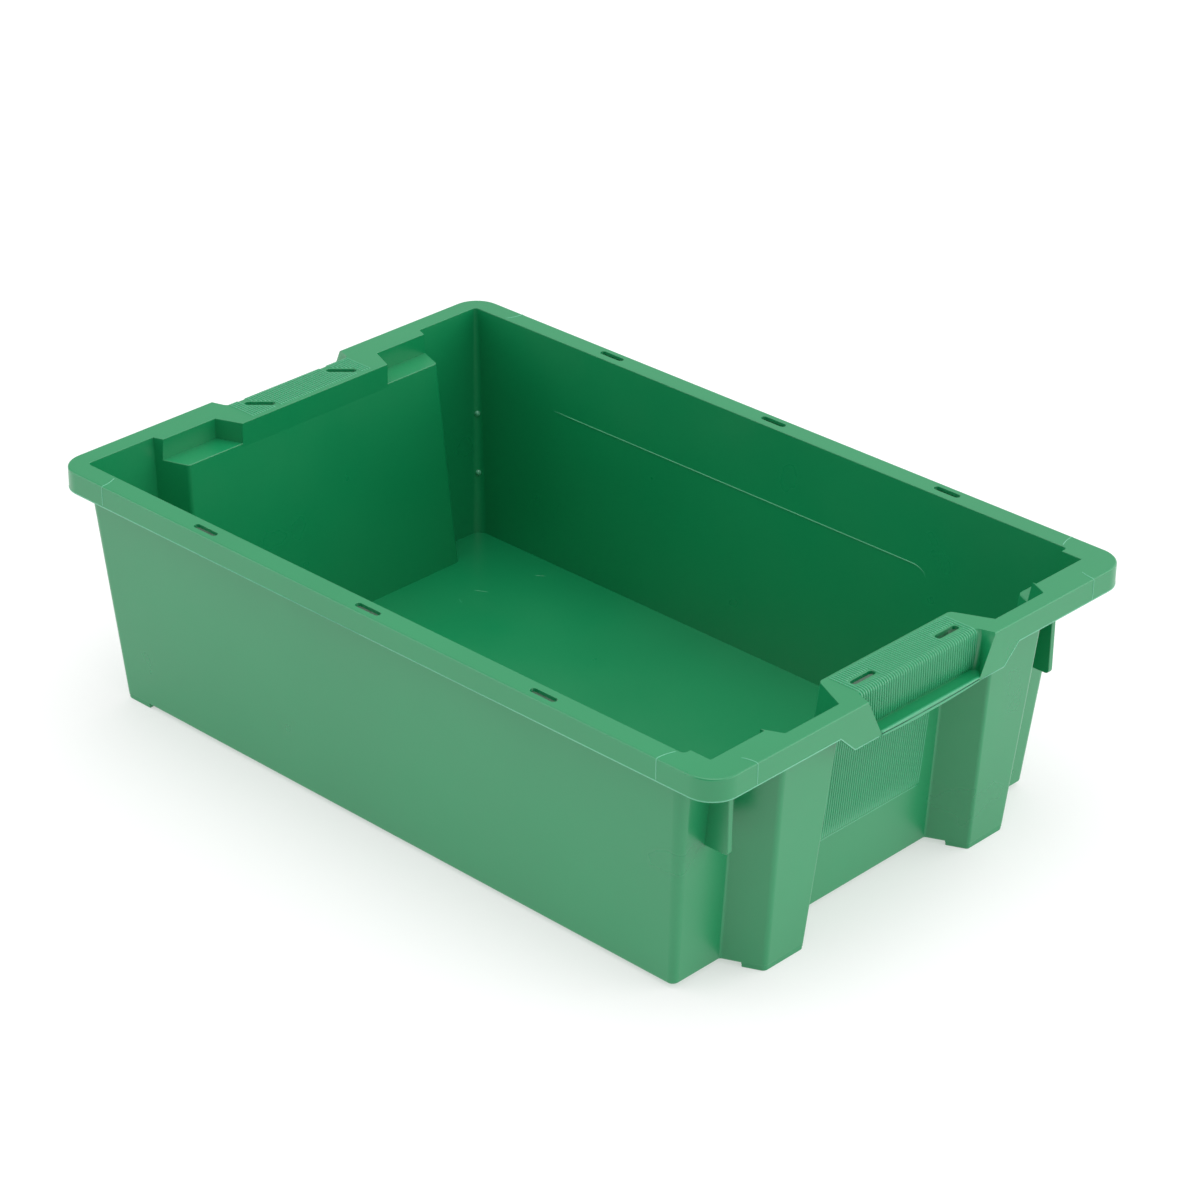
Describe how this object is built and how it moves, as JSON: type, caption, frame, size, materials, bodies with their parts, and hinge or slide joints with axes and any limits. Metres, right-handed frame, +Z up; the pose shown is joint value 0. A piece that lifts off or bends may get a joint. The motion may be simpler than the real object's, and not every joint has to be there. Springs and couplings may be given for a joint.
{
  "type": "stacking plastic crate",
  "caption": "Open plastic crate with drafted walls, a deep rim with slots, ribbed grips at both ends and ledges that let it stack when turned round and nest when not.",
  "frame": {"origin": "centre of the footprint, on the ground plane under the feet", "axes": "+X along the 600 mm side towards the end with the pilasters, +Y along the 400 mm side towards the rear long wall, +Z up"},
  "size_m": [0.6, 0.4, 0.18],
  "materials": {
    "body": "satin moulded green polypropylene with a fine grain"
  },
  "bodies": {
    "root": {"floor_panel": "body", "front_long_wall": "body", "rear_long_wall": "body", "left_end_wall": "body", "right_end_wall": "body", "left_front_column": "body", "left_rear_column": "body", "right_front_column": "body", "right_rear_column": "body", "right_front_pilaster": "body", "right_rear_pilaster": "body", "left_front_ledge": "body", "left_rear_ledge": "body", "right_front_ledge": "body", "right_rear_ledge": "body", "left_grip": "body", "right_grip": "body", "front_rim_rail": "body", "rear_rim_rail": "body", "left_front_rim_corner": "body", "left_rear_rim_corner": "body", "right_front_rim_corner": "body", "right_rear_rim_corner": "body", "front_corner_fin": "body", "rear_corner_fin": "body", "left_feet": "body", "right_feet": "body"}
  },
  "joints": []
}
